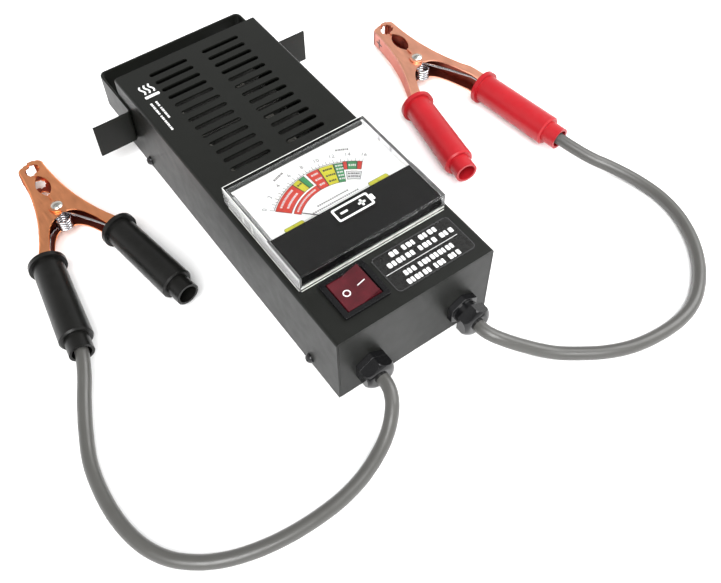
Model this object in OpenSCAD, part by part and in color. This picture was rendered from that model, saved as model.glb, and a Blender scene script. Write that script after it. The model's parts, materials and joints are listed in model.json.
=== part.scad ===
// Battery load tester: a folded steel case with a load element, a panel meter, a test
// rocker and two leads that end in spring clamps.
// Origin: centre of the case's base. +X right, +Y towards the rear strap, +Z up.

/* [Case] */
// Width of the case across its two side walls
case_w = 108; // [104:1:124]
// Length of the case from the lead end to the strap end
case_l = 254; // [246:1:280]
// Height of the case
case_h = 56; // [52:1:64]
// Thickness of the steel sheet
sheet = 1.2; // [0.8:0.1:1.4]
// Number of vent slots in each of the two columns
slot_rows = 13; // [6:1:13]
// Length of one vent slot
slot_len = 28; // [20:1:32]
// Width of one vent slot
slot_wide = 3.6; // [2.4:0.1:4.2]

/* [Rear strap] */
// Height of the strap
strap_high = 25; // [16:1:30]
// Clear gap between the case and the strap's back
strap_gap = 26.5; // [15:0.5:40]
// How far each wing stands out from the case
wing_out = 28; // [15:1:40]

/* [Meter] */
// Width of the meter's window
meter_w = 100.5; // [90:0.5:102]
// Length of the meter's window
meter_l = 80.5; // [70:0.5:81]
// Height of the meter's window above the case
meter_h = 12.2; // [11:0.1:14]
// Length of the dark mask under the near end of the meter's window
mask_l = 30; // [20:0.1:34]
// Angle from the middle of the dial to either end of its scale
dial_half_angle = 44.5; // [35:0.5:50]

/* [Test rocker] */
// Width of the rocker's frame
rocker_frame_w = 30; // [28:1:32]
// Length of the rocker's frame
rocker_frame_l = 27.5; // [26:0.5:28]
// Angle that the rocker leans to either side
rocker_lean = 11; // [6:1:14]

/* [Leads and clamps] */
// Diameter of each lead
lead_d = 8.2; // [6:0.1:8.4]
// Height of the clamps' middle plane above the table
clamp_z = 13; // [13:0.5:20]
// Outer diameter of a grip
grip_d = 20.6; // [20:0.1:22]
// Angle at which each handle stands out from the clamp's axis
handle_angle = 8.5; // [7:0.5:9]

/* [Hidden] */
$fn = 48;

half_w = case_w / 2;
half_l = case_l / 2;
play = 0.15;
chassis_half_w = half_w - sheet - play;
bend_r = 2;
lip_high = 12;

// side screws
screw_y = [-98, 97];
screw_z = 5.5;
screw_r = 1.6;
screw_head_r = 3.2;
screw_head_h = 3;

// vent slots
slot_mid_x = 19.8;
slot_first_y = 12.3;
slot_pitch = 8.62;

// strap
strap_t = 1.5;
strap_z = 17;
strap_corner_r = 4.5;
wing_bend_r = 2;
wing_y = 109.7;

// meter
meter_near_y = -87.5;
meter_y = meter_near_y + meter_l / 2;
wall = 1.8;
mask_t = 0.8;
mask_foot = 3;
can_r = 31;
can_deep = 32;
can_wall = 1.4;
dial_z = case_h + 6.3;
dial_t = 0.5;
dial_mid_x = 1;
pivot_x = -1;
pivot_y = -69;
can_y = pivot_y + 18.5;
staff_l = 11.5;
pointer_len = 29.8;
pointer_lift = 1.4;
stud_x = 40;
stud_r = 2;
terminal_x = 15;
magnet_r = 10.5;
magnet_h = 22;
gap_r = 7.9;
core_r = 5;

// rocker
rocker_x = -25.8;
rocker_y = -103.7;
frame_h = 2;
rocker_pivot_z = case_h - 1.2;
rocker_r = 11.4;
rocker_l = 21.2;
well_w = 23.6;
well_l = 22;
housing_w = 27;
housing_l = 24.6;
housing_deep = 23;
trunnion_r = 1.9;
running_gap = 0.05;

// load element
ribbon_runs = 8;
ribbon_pitch = 13;
ribbon_half = 30;
ribbon_high = 12;
ribbon_t = 0.6;
ribbon_y = 14;
ribbon_z = 24;
rail_x = 24;
rail_t = 6;

// glands: the nut on the red lead stands a little off its body
gland_x = [-32.9, 32.9];
gland_z = 18.5;
gland_af = 18.4;
gland_body_l = 4;
gland_thread_r = 7.8;
gland_thread_l = 8;
gland_bore_r = 5.2;
gland_nut_l = 8.5;
gland_nut_gap = [0, 4.5];
gland_stub_l = 7;
gland_dome_r = 4.5;
locknut_l = 4;

// colours that several parts share
nylon = [0.07, 0.07, 0.08];
copper = [0.80, 0.50, 0.36];
steel = [0.75, 0.75, 0.76];
black_pvc = [0.08, 0.08, 0.08];
red_pvc = [0.80, 0.10, 0.13];

// clamps: rivet position, turn about Z, and how far each grip is slid along its handle
black_at = [-125.7, 83];
black_turn = 0;
red_at = [145.5, 58.5];
red_turn = -2;
black_grip_slide = 0;
red_grip_slide = 11;
jaw_t = 1;
jaw_half_h = 8;
inner_half_h = 6.7;
rivet_r = 2;
rivet_head_r = 3.7;
parting = 0.15;
grip_start = [24.2, -33.5];
grip_l = 62;
grip_mouth_r = 9.75;
grip_bore_r = 8.9;
flange_r = 11.9;
flange_l = 3;
sleeve_r = 7.6;
sleeve_bore_r = 6;
sleeve_l = 10;
crimp_l = 12;
handle_in_grip = 44;
lap = -0.8;
spring_wire_r = 0.85;
spring_r = 4.6;
spring_at = [-1, -7.8];
spring_half = 4.5;
spring_sweep = 1545;

// ---------------------------------------------------------------- shared shapes

function unit(v) = v / norm(v);
function reversed(p) = [for (i = [len(p) - 1 : -1 : 0]) p[i]];
function turned(p, a) = [p[0] * cos(a) - p[1] * sin(a), p[0] * sin(a) + p[1] * cos(a)];
function ahead(p, i) = unit(p[min(i + 1, len(p) - 1)] - p[max(i - 1, 0)]);
function beside(p, i) = let (t = ahead(p, i)) [-t[1], t[0]];
function moved_aside(p, d) = [for (i = [0 : len(p) - 1]) p[i] + d * beside(p, i)];
function arc(centre, r, a0, a1, n) =
    [for (i = [0 : n]) centre + r * [cos(a0 + (a1 - a0) * i / n), sin(a0 + (a1 - a0) * i / n)]];
function bezier(a, b, c, d, n) =
    [for (i = [0 : n]) let (t = i / n, s = 1 - t)
        s * s * s * a + 3 * s * s * t * b + 3 * s * t * t * c + t * t * t * d];

// one point between b and c of a curve that passes through a, b, c and d
function between(a, b, c, d, t) =
    0.5 * ((2 * b) + (c - a) * t + (2 * a - 5 * b + 4 * c - d) * t * t + (3 * b - a - 3 * c + d) * t * t * t);
function smooth(p, n) = concat(
    [for (i = [0 : len(p) - 2], k = [0 : n - 1])
        between(p[max(i - 1, 0)], p[i], p[i + 1], p[min(i + 2, len(p) - 1)], k / n)],
    [p[len(p) - 1]]);

// a flat strip of width w to the left of a path
module strip(p, w) {
    polygon(concat(p, reversed(moved_aside(p, w))));
}

// a round tube that follows a path which is never vertical
module tube(path, r, sides) {
    rings = [for (i = [0 : len(path) - 1])
        let (t = ahead(path, i), u = unit(cross(t, [0, 0, 1])), v = cross(u, t))
        for (j = [0 : sides - 1]) path[i] + r * (cos(360 * j / sides) * u + sin(360 * j / sides) * v)];
    last = (len(path) - 1) * sides;
    skin = [for (i = [0 : len(path) - 2], j = [0 : sides - 1])
        let (k = (j + 1) % sides)
        [i * sides + j, i * sides + k, (i + 1) * sides + k, (i + 1) * sides + j]];
    caps = [[for (j = [sides - 1 : -1 : 0]) j], [for (j = [0 : sides - 1]) last + j]];
    polyhedron(points = rings, faces = concat(caps, skin));
}

// a flat rectangle with round corners
module round_rect(w, l, r) {
    square([w - 2 * r, l], center = true);
    square([w, l - 2 * r], center = true);
    for (x = [-1, 1], y = [-1, 1])
        translate([x * (w / 2 - r), y * (l / 2 - r)]) circle(r);
}

module slot(l, w) {
    square([l - w, w], center = true);
    for (x = [-1, 1]) translate([x * (l - w) / 2, 0]) circle(w / 2);
}

// a cylinder along +Y that starts at y = 0
module along_y(r, l) {
    rotate([-90, 0, 0]) cylinder(r = r, h = l);
}

// a hexagon along +Y with two of its flats upright
module hex_along_y(af, l) {
    rotate([-90, 30, 0]) cylinder(r = af / sqrt(3), h = l, $fn = 6);
}

module hex_nut(af, hole_r, h) {
    difference() {
        cylinder(r = af / sqrt(3), h = h, $fn = 6);
        translate([0, 0, -1]) cylinder(r = hole_r, h = h + 2);
    }
}

module at_pivot() {
    translate([pivot_x, pivot_y, 0]) children();
}

module at_rocker() {
    translate([rocker_x, rocker_y, 0]) children();
}

// ---------------------------------------------------------------- case

// base, both ends and two low side lips, folded from one sheet
module chassis() {
    color([0.10, 0.10, 0.11]) difference() {
        union() {
            translate([-chassis_half_w, -half_l, 0]) cube([2 * chassis_half_w, case_l, sheet]);
            for (end = [-half_l, half_l - sheet])
                translate([-chassis_half_w, end, 0])
                    cube([2 * chassis_half_w, sheet, case_h - sheet - play]);
            for (x = [-chassis_half_w, chassis_half_w - sheet])
                translate([x, -half_l + 4, 0]) cube([sheet, case_l - 8, lip_high]);
        }
        for (x = gland_x)
            translate([x, -half_l - 1, gland_z]) along_y(gland_thread_r + 0.1, sheet + 2);
        for (y = screw_y)
            translate([0, y, screw_z]) rotate([0, 90, 0])
                cylinder(r = screw_r, h = case_w + 10, center = true);
        for (x = [-rail_x, rail_x], y = load_bolt_y())
            translate([x, y, -1]) cylinder(r = 1.6, h = sheet + 2);
    }
}

// the folded section of the cover, as seen along Y
module cover_section(inset, r) {
    w = half_w - inset;
    top = case_h - inset;
    translate([-w + r, 0]) square([2 * (w - r), top]);
    translate([-w, 0]) square([2 * w, top - r]);
    for (x = [-1, 1]) translate([x * (w - r), top - r]) circle(r);
}

// top and both sides, folded from one sheet, with the vents and the instrument openings
module cover() {
    color([0.11, 0.11, 0.12]) difference() {
        rotate([90, 0, 0]) linear_extrude(case_l, center = true) difference() {
            cover_section(0, bend_r);
            cover_section(sheet, bend_r - sheet);
            translate([-half_w - 1, -1]) square([case_w + 2, 1 + 2 * play]);
        }
        for (x = [-slot_mid_x, slot_mid_x], row = [0 : slot_rows - 1])
            translate([x, slot_first_y + row * slot_pitch, case_h - sheet - 1])
                linear_extrude(sheet + 2) slot(slot_len, slot_wide);
        translate([0, can_y, case_h - sheet - 1]) cylinder(r = can_r + 0.5, h = sheet + 2);
        for (x = [-stud_x, stud_x])
            translate([x, meter_y, case_h - sheet - 1]) cylinder(r = stud_r + 0.2, h = sheet + 2);
        at_rocker() translate([0, 0, case_h]) cube([housing_w + 0.3, housing_l + 0.3, 8], center = true);
        for (y = screw_y)
            translate([0, y, screw_z]) rotate([0, 90, 0])
                cylinder(r = screw_r, h = case_w + 10, center = true);
    }
}

// left half of the strap's outer face, from the wing tip to the corner of the back
function strap_half() =
    let (arm_x = half_w + strap_t, back_y = half_l + strap_gap + strap_t)
    concat(
        [[-half_w - wing_out, wing_y]],
        arc([-arm_x - wing_bend_r, wing_y + wing_bend_r], wing_bend_r, -90, 0, 6),
        arc([-arm_x + strap_corner_r, back_y - strap_corner_r], strap_corner_r, 180, 90, 8));
function strap_path() = concat(strap_half(), [for (p = reversed(strap_half())) [-p[0], p[1]]]);

// strap welded round the rear of the case, with a wing at each end
module rear_strap() {
    color([0.11, 0.11, 0.12]) translate([0, 0, strap_z]) linear_extrude(strap_high)
        strip(strap_path(), -strap_t);
}

module cover_screws() {
    color([0.16, 0.16, 0.17]) for (side = [0, 1], y = screw_y)
        mirror([side, 0, 0]) translate([half_w, y, screw_z]) rotate([0, 90, 0]) difference() {
            union() {
                translate([0, 0, -5]) cylinder(r = screw_r, h = 5.4);
                rotate_extrude() intersection() {
                    square([screw_head_r, screw_head_h]);
                    translate([0, screw_head_h - 3.4]) circle(3.4);
                }
            }
            for (a = [45, 135]) rotate([0, 0, a])
                translate([0, 0, screw_head_h]) cube([3.2, 0.7, 2.4], center = true);
        }
}

module load_label() {
    color([0.06, 0.06, 0.07]) translate([20.2, -106, case_h]) linear_extrude(0.2)
        round_rect(55, 28, 3);
}

// ---------------------------------------------------------------- meter

module meter_base() {
    plate_w = meter_w - 2 * wall - 0.6;
    plate_l = meter_l - 2 * wall - 0.6;
    color([0.85, 0.85, 0.84]) difference() {
        union() {
            translate([0, meter_y, case_h]) linear_extrude(1.6) round_rect(plate_w, plate_l, 2);
            translate([0, can_y, case_h - can_deep]) cylinder(r = can_r, h = can_deep + 1);
            for (x = [-40, 40], y = [-74, -18])
                translate([x, y, case_h + 1]) cylinder(r = 2.5, h = dial_z - case_h - 1);
        }
        translate([0, can_y, case_h - can_deep + can_wall])
            cylinder(r = can_r - can_wall, h = can_deep + 2);
        for (x = [-stud_x, stud_x])
            translate([x, meter_y, case_h - 1]) cylinder(r = stud_r, h = 4);
        for (x = [-terminal_x, terminal_x])
            translate([x, can_y, case_h - can_deep - 1]) cylinder(r = stud_r, h = can_wall + 2);
    }
}

// clear box, open underneath
module meter_window() {
    color([0.85, 0.92, 0.95, 0.35]) translate([0, meter_y, case_h]) difference() {
        linear_extrude(meter_h) round_rect(meter_w, meter_l, 0.8);
        translate([0, 0, -1]) linear_extrude(meter_h + 1 - wall)
            square([meter_w - 2 * wall, meter_l - 2 * wall], center = true);
    }
}

// dark mask inside the near end of the window: a top plate and a near wall
module meter_mask() {
    w = meter_w - 2 * wall - 0.2;
    near = meter_near_y + wall + 0.1;
    top = case_h + meter_h - wall - 0.1;
    color([0.05, 0.05, 0.05]) {
        translate([-w / 2, near, top - mask_t]) cube([w, mask_l, mask_t]);
        translate([-w / 2, near, case_h + mask_foot]) cube([w, mask_t, top - case_h - mask_foot]);
    }
}

module meter_dial() {
    color([0.95, 0.95, 0.93]) translate([0, 0, dial_z]) linear_extrude(dial_t) difference() {
        translate([dial_mid_x - 47, meter_near_y + 3.2]) square([94, meter_l - wall - 4]);
        translate([pivot_x, pivot_y]) circle(4);
    }
}

// needle, hub, staff and tail weight, at the zero end of the scale
module meter_pointer() {
    z = dial_z + dial_t + pointer_lift;
    color([0.12, 0.12, 0.12]) at_pivot() rotate([0, 0, dial_half_angle]) {
        translate([0, 0, z - 0.8]) cylinder(r = 2.6, h = 1.6);
        translate([0, 0, z - staff_l]) cylinder(r = 1, h = staff_l);
        translate([0, 0, z - 0.3]) linear_extrude(0.6)
            polygon([[-0.7, 0], [-0.2, pointer_len - 12], [-0.1, pointer_len],
                [0.1, pointer_len], [0.2, pointer_len - 12], [0.7, 0]]);
        translate([-0.9, -7, z - 0.3]) cube([1.8, 6, 0.6]);
    }
}

// the wound frame that turns with the pointer
module meter_coil() {
    top = dial_z + dial_t + pointer_lift - staff_l;
    color([0.72, 0.42, 0.22]) at_pivot() rotate([0, 0, dial_half_angle]) {
        translate([-7.2, -1.5, top - 18]) difference() {
            cube([14.4, 3, 18]);
            translate([1.4, -1, 1.4]) cube([11.6, 5, 15.2]);
        }
    }
}

// ring magnet that stands on the floor of the can
module meter_magnet() {
    floor_z = case_h - can_deep + can_wall;
    color([0.35, 0.35, 0.37]) at_pivot() translate([0, 0, floor_z]) difference() {
        cylinder(r = magnet_r, h = magnet_h);
        translate([0, 0, -1]) cylinder(r = gap_r, h = magnet_h + 2);
    }
}

// fixed iron core inside the turning frame, on a bridge across the sector that it never sweeps
module meter_core() {
    floor_z = case_h - can_deep + can_wall;
    reach = sqrt(gap_r * gap_r - 1.5 * 1.5);
    color([0.5, 0.5, 0.52]) at_pivot() translate([0, 0, floor_z + magnet_h - 8]) {
        cylinder(r = core_r, h = 7.5);
        translate([-1.5, -reach, 2]) cube([3, 2 * reach, 3]);
    }
}

module meter_studs() {
    color([0.78, 0.66, 0.35]) {
        for (x = [-stud_x, stud_x])
            translate([x, meter_y, case_h - 10]) cylinder(r = stud_r, h = 11.6);
        for (x = [-terminal_x, terminal_x])
            translate([x, can_y, case_h - can_deep - 11]) cylinder(r = stud_r, h = 12.6);
    }
}

module meter_nuts() {
    color([0.78, 0.66, 0.35]) {
        for (x = [-stud_x, stud_x])
            translate([x, meter_y, case_h - sheet - 3.2]) hex_nut(7, stud_r, 3.2);
        for (x = [-terminal_x, terminal_x])
            translate([x, can_y, case_h - can_deep - 3.2]) hex_nut(7, stud_r, 3.2);
    }
}

// ---------------------------------------------------------------- test rocker

module switch_housing() {
    color([0.08, 0.08, 0.09]) at_rocker() difference() {
        union() {
            translate([0, 0, case_h]) linear_extrude(frame_h) round_rect(rocker_frame_w, rocker_frame_l, 1);
            translate([-housing_w / 2, -housing_l / 2, case_h - housing_deep])
                cube([housing_w, housing_l, housing_deep + 0.5]);
        }
        translate([-well_w / 2, -well_l / 2, rocker_pivot_z - rocker_r - 0.4])
            cube([well_w, well_l, rocker_r + 10]);
        translate([0, -well_l / 2 - 1.1, rocker_pivot_z])
            along_y(trunnion_r + running_gap, well_l + 2.2);
        for (x = [-8, 0, 8])
            translate([x - 0.4, -3.15, case_h - housing_deep - 1]) cube([0.8, 6.3, 8]);
    }
}

// rocker seen along Y: two flat faces that meet in a shallow valley, within a round outline
module rocker_section() {
    rise = rocker_r * tan(rocker_lean);
    intersection() {
        circle(rocker_r);
        polygon([[-rocker_r, -5], [rocker_r, -5], [rocker_r, frame_h + 1.2 + rise],
            [0, frame_h + 1.2], [-rocker_r, frame_h + 1.2 + rise]]);
    }
}

// the rocker at rest, with its left half pressed down level with the frame
module switch_rocker() {
    color([0.55, 0.05, 0.10]) at_rocker() translate([0, 0, rocker_pivot_z]) rotate([0, -rocker_lean, 0]) {
        rotate([90, 0, 0]) linear_extrude(rocker_l, center = true) rocker_section();
        translate([0, -rocker_l / 2 - 1, 0]) along_y(trunnion_r, rocker_l + 2);
    }
}

module switch_terminals() {
    color([0.78, 0.66, 0.35]) at_rocker() for (x = [-8, 0, 8])
        translate([x - 0.4, -3.15, case_h - housing_deep - 9]) cube([0.8, 6.3, 12]);
}

// ---------------------------------------------------------------- load element

function load_bolt_y() = [ribbon_y - 4, ribbon_y + (ribbon_runs - 1) * ribbon_pitch + 4];

// centre line of the folded strip, with a half turn at the end of each run
function ribbon_path() = concat(
    [[-ribbon_half, 0]],
    [for (i = [0 : ribbon_runs - 2])
        let (side = i % 2 == 0 ? 1 : -1, middle = [side * ribbon_half, (i + 0.5) * ribbon_pitch])
        for (p = arc(middle, ribbon_pitch / 2, -90, -90 + side * 180, 8)) p],
    [[(ribbon_runs % 2 == 0 ? -1 : 1) * ribbon_half, (ribbon_runs - 1) * ribbon_pitch]]);

// one upright strip folded back and forth across the case under the vents
module load_ribbon() {
    color([0.62, 0.60, 0.57]) translate([0, ribbon_y, ribbon_z]) linear_extrude(ribbon_high)
        strip(moved_aside(ribbon_path(), -ribbon_t / 2), ribbon_t);
}

// two ceramic rails, notched to hold the strip's lower edge
module load_rails() {
    y0 = ribbon_y - 10;
    l = (ribbon_runs - 1) * ribbon_pitch + 20;
    color([0.86, 0.83, 0.76]) for (x = [-rail_x, rail_x]) difference() {
        translate([x - rail_t / 2, y0, sheet]) cube([rail_t, l, ribbon_z + 3 - sheet]);
        for (i = [0 : ribbon_runs - 1])
            translate([x - rail_t, ribbon_y + i * ribbon_pitch - ribbon_t / 2 - 0.1, ribbon_z])
                cube([2 * rail_t, ribbon_t + 0.2, 10]);
        for (y = load_bolt_y())
            translate([x, y, 0]) cylinder(r = 1.5, h = 9);
    }
}

module load_bolts() {
    color([0.6, 0.6, 0.62]) for (x = [-rail_x, rail_x], y = load_bolt_y()) {
        translate([x, y, 0.1]) cylinder(r = 1.5, h = 8);
    }
}

// inside wiring, from the meter and the rocker to the load element
module inner_wires() {
    run_z = 6;
    link = smooth([[rocker_x - 8, rocker_y, 22.8], [-33, -92, 12], [-33, -60, run_z],
        [-33, -20, run_z], [-33.5, 60, run_z], [-34, 92, 13], [-31.5, 103, 29]], 3);
    thin_plus = smooth([[-terminal_x, can_y, 12.4], [-22, -64, 9], [-28, -85, 14],
        [rocker_x, rocker_y + 2, 23.4]], 3);
    thin_minus = smooth([[terminal_x, can_y, 12.4], [12, -30, 8], [-4, -12, 8],
        [-12, 2, 16], [-14, 13, 28]], 3);
    color([0.6, 0.1, 0.1]) {
        tube(link, 2, 8);
        tube(thin_plus, 0.8, 8);
        tube(thin_minus, 0.8, 8);
    }
}

// ---------------------------------------------------------------- glands

function nose_y(side) = -half_l - gland_body_l - gland_nut_gap[side] - gland_nut_l;

// hexagon against the case's end, with a hollow thread through it and a stub for the nut
module gland_body(side) {
    color(nylon) translate([gland_x[side], -half_l, gland_z]) difference() {
        union() {
            translate([0, -gland_body_l, 0]) hex_along_y(gland_af, gland_body_l);
            translate([0, -gland_body_l - gland_stub_l, 0])
                along_y(gland_thread_r, gland_stub_l + gland_body_l + gland_thread_l);
        }
        translate([0, -gland_body_l - gland_stub_l - 1, 0])
            along_y(gland_bore_r, gland_body_l + gland_stub_l + gland_thread_l + 2);
    }
}

// hexagonal clamping nut with a domed nose
module gland_nut(side) {
    hex_r = gland_af / sqrt(3);
    color(nylon) translate([gland_x[side], nose_y(side), gland_z]) difference() {
        intersection() {
            hex_along_y(gland_af, gland_nut_l);
            rotate([-90, 0, 0]) rotate_extrude() {
                square([hex_r - gland_dome_r, gland_nut_l]);
                translate([0, gland_dome_r]) square([hex_r, gland_nut_l - gland_dome_r]);
                intersection() {
                    translate([hex_r - gland_dome_r, gland_dome_r]) circle(gland_dome_r);
                    square([hex_r, gland_nut_l]);
                }
            }
        }
        translate([0, -1, 0]) along_y(lead_d / 2 + running_gap, gland_nut_l + 2);
        translate([0, gland_nut_l - gland_stub_l - 0.2, 0])
            along_y(gland_thread_r + running_gap, gland_stub_l + 1);
    }
}

module gland_body_black() { gland_body(0); }
module gland_nut_black() { gland_nut(0); }
module gland_body_red() { gland_body(1); }
module gland_nut_red() { gland_nut(1); }

// rubber rings that the nuts squeeze round the leads
module gland_seals() {
    color([0.12, 0.12, 0.12]) for (x = gland_x)
        translate([x, -half_l - gland_body_l - gland_stub_l + 1, gland_z]) difference() {
            along_y(gland_bore_r, 8);
            translate([0, -1, 0]) along_y(lead_d / 2, 10);
        }
}

module gland_locknuts() {
    color(nylon) for (x = gland_x)
        translate([x, -half_l + sheet, gland_z]) difference() {
            hex_along_y(gland_af, locknut_l);
            translate([0, -1, 0]) along_y(gland_thread_r, locknut_l + 2);
        }
}

// ---------------------------------------------------------------- leads

// The leads' routes: out of each gland, down to the table, round, and up into the grip.
black_route = [[-32.9, -139.5, 18.5], [-33, -143.5, 18.45], [-34.2, -148.5, 17.9],
    [-37, -154, 16.3], [-41.4, -159.2, 13.6], [-47, -163.9, 10.3], [-53.8, -168, 7.5],
    [-61.5, -171.5, 5.5], [-70, -174.7, 4.5], [-80, -177.5, 4.3], [-93, -179.5, 4.3],
    [-110, -179.9, 4.3], [-126, -178.6, 4.3], [-142, -175.3, 4.3], [-156, -170.2, 4.3],
    [-168, -163, 4.3], [-178.5, -152.8, 4.3], [-185.8, -139.2, 4.3], [-189.6, -122, 4.3],
    [-190, -103, 4.3], [-187.3, -83, 4.6], [-181, -65, 6], [-173.3, -48.5, 8.6], [-166, -35, 11.2]];
red_route = [[32.9, -144, 18.5], [33.1, -148, 18.45], [35, -153, 17.7],
    [38.8, -158, 15.9], [44, -163, 13], [50, -168, 9.8], [57, -174, 6.9],
    [65, -180.5, 4.9], [76, -188.4, 4.3], [88, -196, 4.3], [103, -202.3, 4.3],
    [120, -205.6, 4.3], [138, -206, 4.3], [154, -202.6, 4.3], [168, -194.8, 4.3],
    [181, -183, 4.3], [191.5, -168, 4.3], [199, -150, 4.3], [201.8, -131, 4.4],
    [199, -111.5, 5.3], [192.6, -94.5, 7.2], [184.7, -79.5, 9.8]];

function clamp_point(at, turn, p, z) = let (q = turned(p, turn)) [at[0] + q[0], at[1] + q[1], z];
function along_handle(side, s) =
    [side * (grip_start[0] + s * sin(handle_angle)), grip_start[1] - s * cos(handle_angle)];
// where the lead ends, inside the crimp: distance s along the handle
function lead_end(at, turn, side, s) = clamp_point(at, turn, along_handle(side, s), clamp_z);

black_end = [for (s = [72, 60, 47]) lead_end(black_at, black_turn, -1, s)];
red_end = [for (s = [82, 65, 47]) lead_end(red_at, red_turn, 1, s)];

module lead_black() {
    color([0.42, 0.42, 0.41]) tube(smooth(concat(black_route, black_end), 3), lead_d / 2, 10);
}

module lead_red() {
    color([0.42, 0.42, 0.41]) tube(smooth(concat(red_route, red_end), 3), lead_d / 2, 10);
}

// the leads' ends inside the case, from the gland's nose to the first terminal
module tail_black() {
    path = [[gland_x[0], nose_y(0), gland_z], [gland_x[0], -130, gland_z], [gland_x[0], -119, gland_z],
        [-34.5, -110, 17], [-38, -102, 13.5], [-42, -91, 9.5], [-44, -77, 7], [-43, -40, 7],
        [-42, -14, 9], [-38, 0, 17], [-32, 10, 26]];
    color([0.42, 0.42, 0.41]) tube(smooth(path, 3), lead_d / 2, 10);
}

module tail_red() {
    path = [[gland_x[1], nose_y(1), gland_z], [gland_x[1], -131, gland_z], [gland_x[1], -119, gland_z],
        [30, -110, 16], [20, -103.5, 12.5], [4, -101, 12], [-8, -102.5, 12.5], [-15.5, -103.5, 16.5],
        [-17.7, -103.7, 22.5]];
    color([0.42, 0.42, 0.41]) tube(smooth(path, 3), lead_d / 2, 10);
}

// ---------------------------------------------------------------- clamps
// Each clamp is drawn about its rivet, with its tip along +Y and its plates level.
// The outer jaw is on the +X side and laps over the inner jaw on the -X side.

// outer edge of a jaw, from its tip to where the grip begins
function jaw_edge() = concat(
    arc([4.3, 41.2], 4.4, 100, 10, 6),
    bezier([8.6, 39], [9.6, 17], [13, -2], grip_start + [1.6, 5], 12),
    [grip_start + [3.4, -3]],
    [let (h = along_handle(1, handle_in_grip)) h + [3.6, 0]]);

// inner edge of a handle, from inside the grip to below the rivet
function handle_edge() = concat(
    [let (h = along_handle(1, handle_in_grip)) h + [-3.4, 0]],
    bezier(grip_start + [-3.2, -2], [14.5, -18.5], [10.5, -7.4], [2, -7.4], 10));

// half of the round toothed bite, as a zigzag about its centre
function bite_half(edge) =
    [for (i = [0 : 10]) let (a = -90 + 18 * i, r = i % 2 == 0 ? 5 : 4.2)
        [i % 10 == 0 ? edge : parting + r * cos(a), 38.2 + r * sin(a)]];

// half of the pointed oval gap behind the bite
function oval_half(edge) =
    let (bow = 13.6, reach = 9)
    [for (i = [-1 : 9]) let (a = -46 + 11.5 * min(max(i, 0), 8))
        [i < 0 || i > 8 ? edge : bow * cos(a) - reach, 21.2 + bow * sin(a)]];

// one plate, which ends at x = edge where the two jaws meet
module jaw_plate(lobe_r, edge) {
    difference() {
        union() {
            polygon(concat(jaw_edge(), handle_edge(),
                [[0, -6.2], [edge, 8]], oval_half(edge), bite_half(edge), [[edge, 45.6]]));
            circle(lobe_r);
        }
        circle(rivet_r + running_gap);
    }
}

// two plates joined along their outer edge by a web
module jaw(half_h, lobe_r, edge) {
    for (z = [-half_h, half_h - jaw_t])
        translate([0, 0, z]) linear_extrude(jaw_t) jaw_plate(lobe_r, edge);
    translate([0, 0, -half_h]) linear_extrude(2 * half_h) strip(jaw_edge(), -jaw_t);
}

// crimped barrel at the end of the handle that holds the lead
module crimp(side, slide) {
    from = along_handle(side, handle_in_grip - 1);
    translate([from[0], from[1], 0]) rotate([0, 0, 180 + side * handle_angle]) difference() {
        along_y(lead_d / 2 + 1, crimp_l + slide);
        translate([0, -1, 0]) along_y(lead_d / 2, crimp_l + slide + 2);
    }
}

module rivet() {
    top = jaw_half_h + 0.1;
    cylinder(r = rivet_r, h = 2 * top + 0.4, center = true);
    for (m = [0, 1]) mirror([0, 0, m]) translate([0, 0, top]) rotate_extrude() intersection() {
        square([rivet_head_r, 1.3]);
        translate([0, 1.3 - 6.2]) circle(6.2);
    }
}

// torsion spring behind the rivet, with one leg lying in each handle
module clamp_spring() {
    steps = round(spring_sweep / 30);
    coil = [for (i = [0 : steps]) let (a = 135 - spring_sweep * i / steps)
        [spring_at[0] + spring_r * cos(a), spring_at[1] + spring_r * sin(a),
            -spring_half + 2 * spring_half * i / steps]];
    leg_a = [for (p = [[-25, -48], [-22.3, -34], [-18.1, -20.6], [-13, -9.8], [-9.4, -7]])
        [p[0], p[1], -spring_half]];
    leg_b = [for (p = [[14, -21.8], [22.3, -36], [25, -48]]) [p[0], p[1], spring_half]];
    tube(concat(leg_a, coil, leg_b), spring_wire_r, 8);
}

// hollow grip with a flange at its mouth and a narrower sleeve at its end
module grip(side, slide) {
    from = along_handle(side, slide);
    body_l = grip_l - flange_l;
    r = grip_d / 2;
    translate([from[0], from[1], 0]) rotate([0, 0, 180 + side * handle_angle]) rotate([-90, 0, 0])
        rotate_extrude() difference() {
            union() {
                square([flange_r, flange_l]);
                polygon([[0, 0], [grip_mouth_r, 0], [grip_mouth_r, flange_l],
                    [r, grip_l - 1], [r - 1, grip_l], [0, grip_l]]);
                square([sleeve_r, grip_l + sleeve_l]);
            }
            translate([-1, -1]) square([grip_bore_r + 1, body_l + 1]);
            translate([-1, -1]) square([sleeve_bore_r + 1, grip_l + sleeve_l + 2]);
        }
}

module place(at, turn) {
    translate([at[0], at[1], clamp_z]) rotate([0, 0, turn]) children();
}

module black_outer_jaw() {
    color(copper) place(black_at, black_turn) jaw(jaw_half_h, 5.4, lap);
}

module black_inner_jaw() {
    color(copper) place(black_at, black_turn) {
        mirror([1, 0, 0]) jaw(inner_half_h, 5.4, parting);
        crimp(-1, 0);
    }
}

module red_outer_jaw() {
    color(copper) place(red_at, red_turn) {
        jaw(jaw_half_h, 5.4, lap);
        crimp(1, 0);
    }
}

module red_inner_jaw() {
    color(copper) place(red_at, red_turn)
        mirror([1, 0, 0]) jaw(inner_half_h, 5.4, parting);
}

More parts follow.
